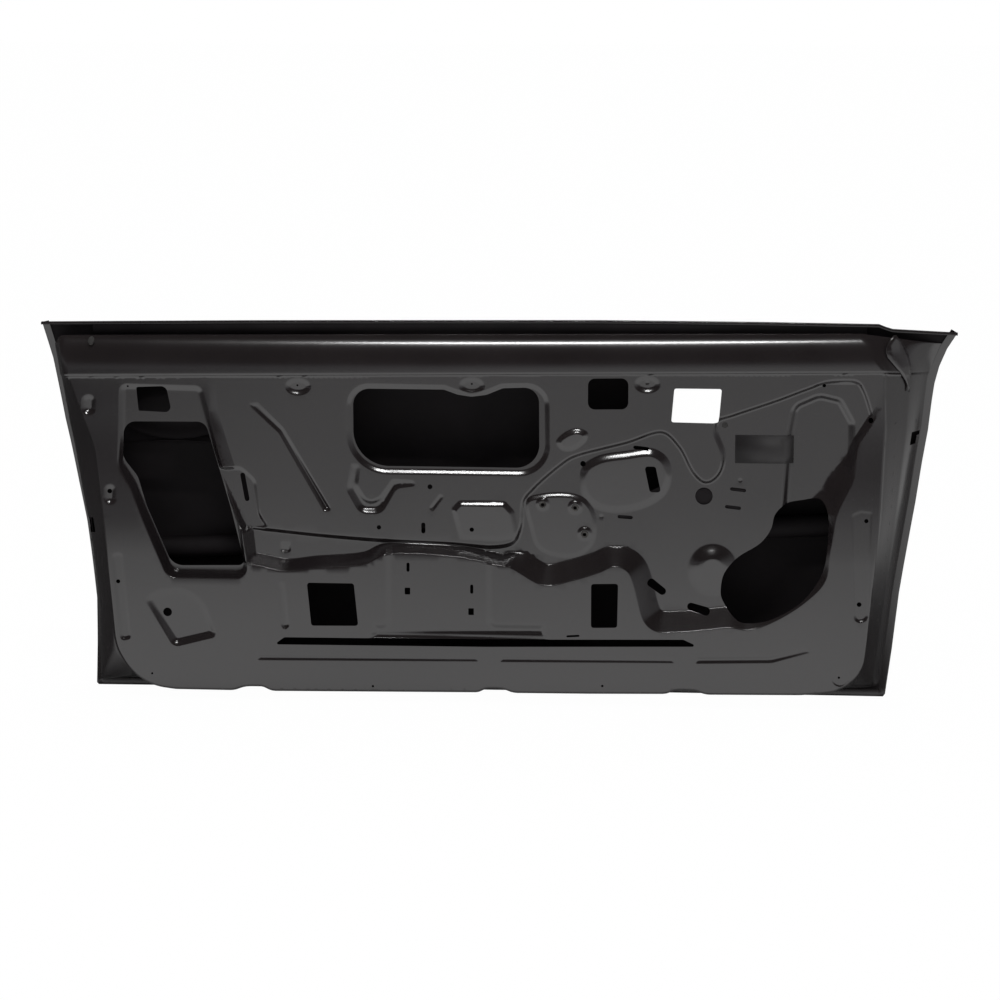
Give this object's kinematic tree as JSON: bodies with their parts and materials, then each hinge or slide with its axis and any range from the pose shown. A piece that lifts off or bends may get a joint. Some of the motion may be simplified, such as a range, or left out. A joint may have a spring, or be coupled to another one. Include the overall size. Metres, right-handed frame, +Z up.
{
  "type": "car door shell",
  "caption": "Bare pressed-steel car door shell: inner panel with access holes and pressings, hemmed outer skin, glass slot and side beam, in black primer.",
  "frame": {"origin": "middle of the bounding box's base, at the height of the skin's lower hem", "axes": "+X towards the hinges (front of the car), +Y to the street side, +Z up"},
  "size_m": [1.33, 0.1136, 0.5588],
  "materials": {
    "black_primer": "satin black dip primer",
    "mastic": "matt",
    "cloth_tape": "matt woven tape",
    "zinc_plate": "zinc plated"
  },
  "bodies": {
    "root": {"beam_front_bracket": "black_primer", "beam_mastic_pad_1": "mastic", "beam_mastic_pad_2": "mastic", "beam_mastic_pad_3": "mastic", "beam_mastic_pad_4": "mastic", "beam_rear_bracket": "black_primer", "cable_patch": "cloth_tape", "front_corner_gusset": "black_primer", "handle_reinforcement": "black_primer", "hinge_reinforcement": "black_primer", "inner_belt_reinforcement": "black_primer", "inner_panel": "black_primer", "latch_reinforcement": "black_primer", "lower_hinge_nut_plate": "zinc_plate", "mirror_reinforcement": "black_primer", "motor_weld_nut_1": "zinc_plate", "motor_weld_nut_2": "zinc_plate", "motor_weld_nut_3": "zinc_plate", "outer_belt_reinforcement": "black_primer", "outer_skin": "black_primer", "regulator_reinforcement": "black_primer", "side_impact_beam": "black_primer", "upper_hinge_nut_plate": "zinc_plate"}
  },
  "joints": []
}
